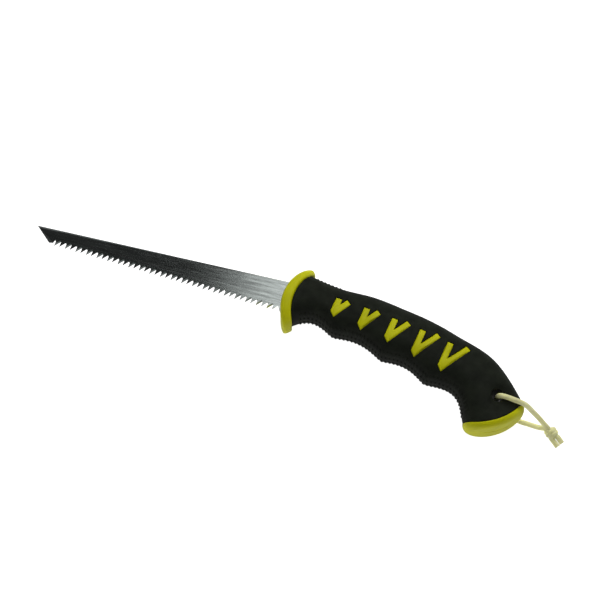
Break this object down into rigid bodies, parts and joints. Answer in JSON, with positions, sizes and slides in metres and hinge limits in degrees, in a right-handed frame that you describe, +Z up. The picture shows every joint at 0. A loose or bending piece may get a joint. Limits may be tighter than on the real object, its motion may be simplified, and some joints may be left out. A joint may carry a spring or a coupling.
{
  "type": "drywall saw",
  "caption": "Jab-type drywall saw: tapered pointed steel blade with large teeth, yellow guard and butt, black soft-grip pistol-curve handle with chevron inlays, and a knotted lanyard cord.",
  "frame": {"origin": "bottom centre of the saw's own box, cord left out, with the saw lying on its right side", "axes": "+X to the butt, -X to the blade's point; +Y to the back of the hand and the blade's spine, -Y to the teeth and fingers; +Z up, square to the blade's side"},
  "size_m": [0.3382, 0.0766, 0.0282],
  "materials": {
    "blade_steel": "ground, brushed lengthwise",
    "pin_steel": "plain",
    "core_yellow": "as moulded",
    "trim_yellow": "satin",
    "grip_black": "satin, with a stippled finger side",
    "inlay_yellow": "satin",
    "cord_milky": "milky and slightly translucent"
  },
  "bodies": {
    "root": {"blade": "blade_steel", "tang_pin_front": "pin_steel", "tang_pin_rear": "pin_steel", "core_left": "core_yellow", "core_right": "core_yellow", "guard": "trim_yellow", "butt_cap": "trim_yellow", "grip_sleeve": "grip_black", "chevron_left_1": "inlay_yellow", "chevron_left_2": "inlay_yellow", "chevron_left_3": "inlay_yellow", "chevron_left_4": "inlay_yellow", "chevron_left_5": "inlay_yellow", "chevron_right_1": "inlay_yellow", "chevron_right_2": "inlay_yellow", "chevron_right_3": "inlay_yellow", "chevron_right_4": "inlay_yellow", "chevron_right_5": "inlay_yellow", "lanyard_loop": "cord_milky", "lanyard_knot": "cord_milky", "lanyard_tails": "cord_milky"}
  },
  "joints": []
}
